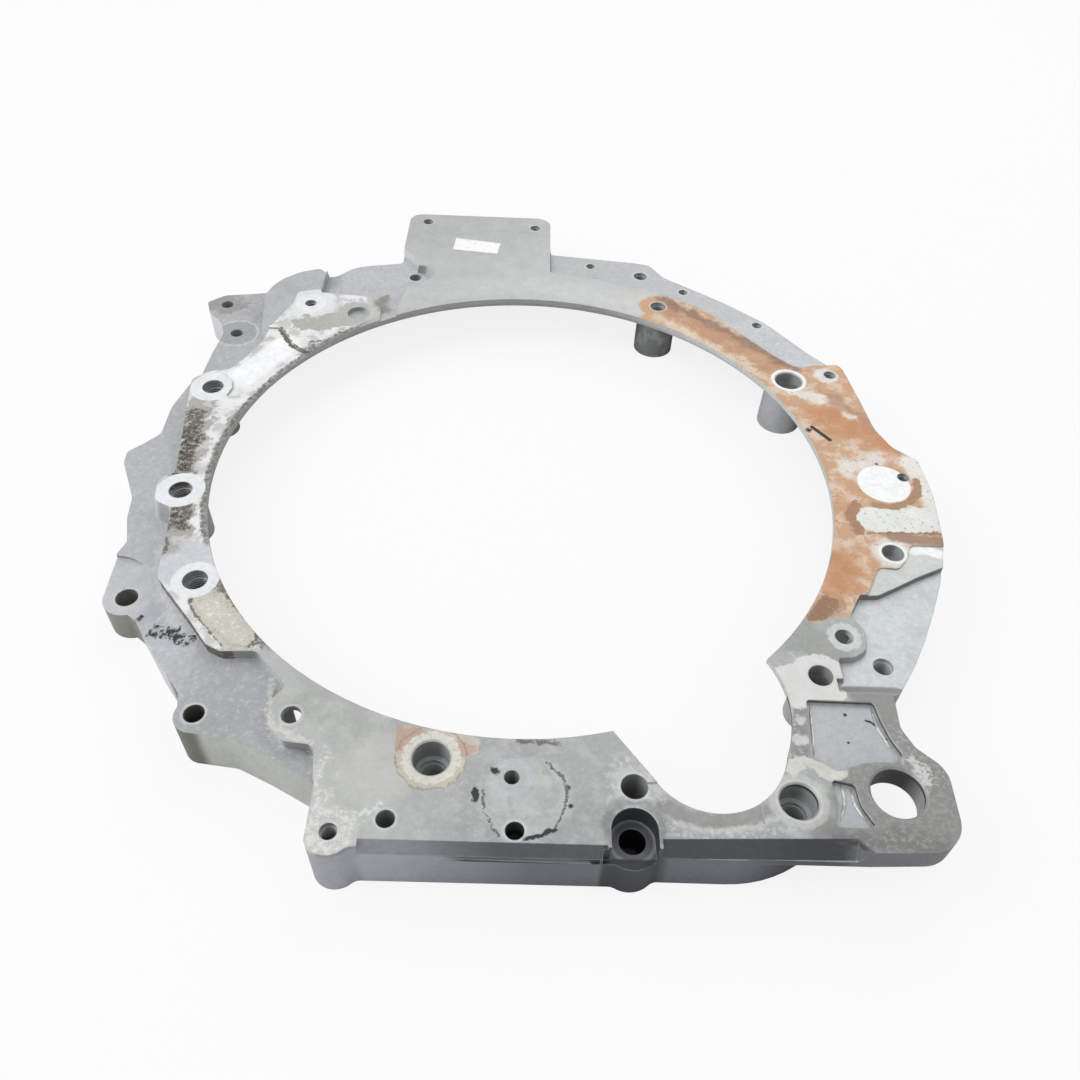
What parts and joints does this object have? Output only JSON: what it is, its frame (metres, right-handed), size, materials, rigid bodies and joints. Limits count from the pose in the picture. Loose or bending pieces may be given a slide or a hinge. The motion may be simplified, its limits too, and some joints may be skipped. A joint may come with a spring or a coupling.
{
  "type": "transmission adapter plate",
  "caption": "Cast aluminium adapter plate that joins a gearbox to an engine, with a round flywheel bore, an open starter bay, tapped bosses, milled lands and a lifting lug with an eye.",
  "frame": {"origin": "where the axis of the flywheel bore meets the machined engine face", "axes": "+Z out of the engine face along the bore axis, +Y towards the rectangular pad, the starter bay and the lifting lug towards +X and -Y"},
  "size_m": [0.491, 0.545, 0.035],
  "materials": {
    "cast_aluminium": "as cast, with machined lands that are worn and stained"
  },
  "bodies": {
    "root": {"adapter_plate": "cast_aluminium"}
  },
  "joints": []
}
